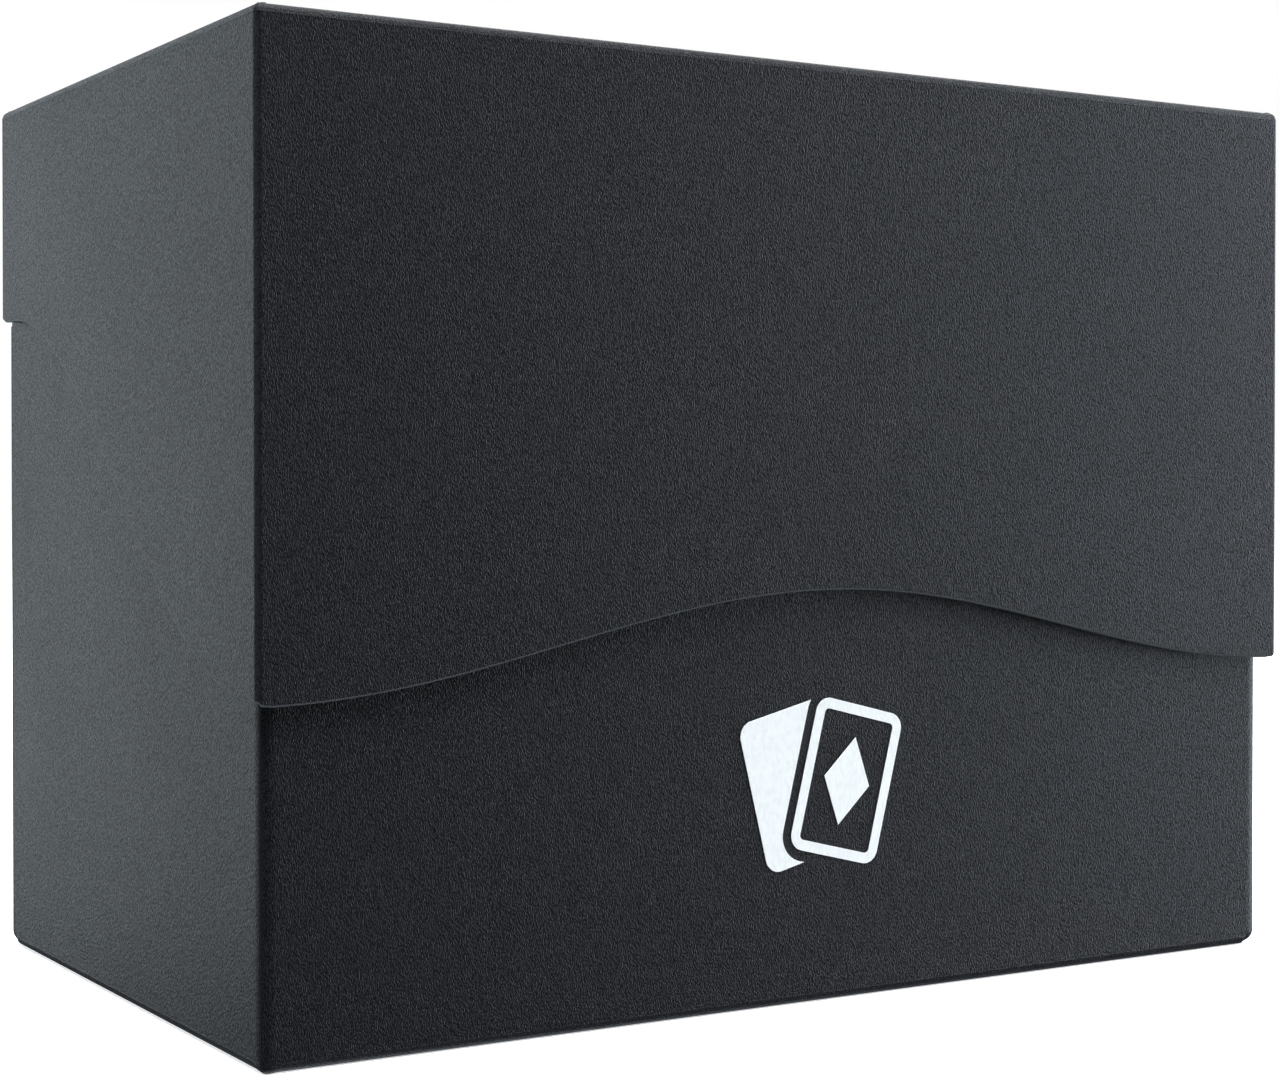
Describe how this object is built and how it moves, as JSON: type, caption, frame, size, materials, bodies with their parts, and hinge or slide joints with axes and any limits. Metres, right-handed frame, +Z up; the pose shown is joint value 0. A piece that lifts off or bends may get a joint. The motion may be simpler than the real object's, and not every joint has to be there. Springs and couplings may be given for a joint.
{
  "type": "card deck box",
  "caption": "Side-loading deck box of folded plastic sheet: a flip-top lid with a curved front edge closes over an open-topped tray with a loose card divider.",
  "frame": {"origin": "middle of the closed box's footprint, on the surface it stands on", "axes": "+X to the right along the wide front, +Y to the back where the lid's hinge is, +Z up; the front faces -Y"},
  "size_m": [0.0992, 0.0598, 0.0755],
  "materials": {
    "sheet": "fine-grained matte polypropylene sheet, charcoal black",
    "divider_sheet": "thin grained polypropylene sheet, dark grey",
    "ink": "screen-printed white ink, satin",
    "tape": "translucent double-sided tape"
  },
  "bodies": {
    "base": {"base_shell": "sheet", "base_flap_bonds": "tape", "front_emblem": "ink"},
    "lid": {"lid_shell": "sheet", "lid_flap_bonds": "tape"},
    "divider": {"card_divider": "divider_sheet"}
  },
  "joints": [
    {"name": "lid_hinge", "type": "hinge", "parent": "base", "child": "lid", "pos_m": [0, 0.0299, 0.0564], "axis": [-1, 0, 0], "range_deg": [0, 175]},
    {"name": "divider_slide", "type": "slide", "parent": "base", "child": "divider", "axis": [0, -1, 0], "range_m": [0, 0.0545]}
  ]
}
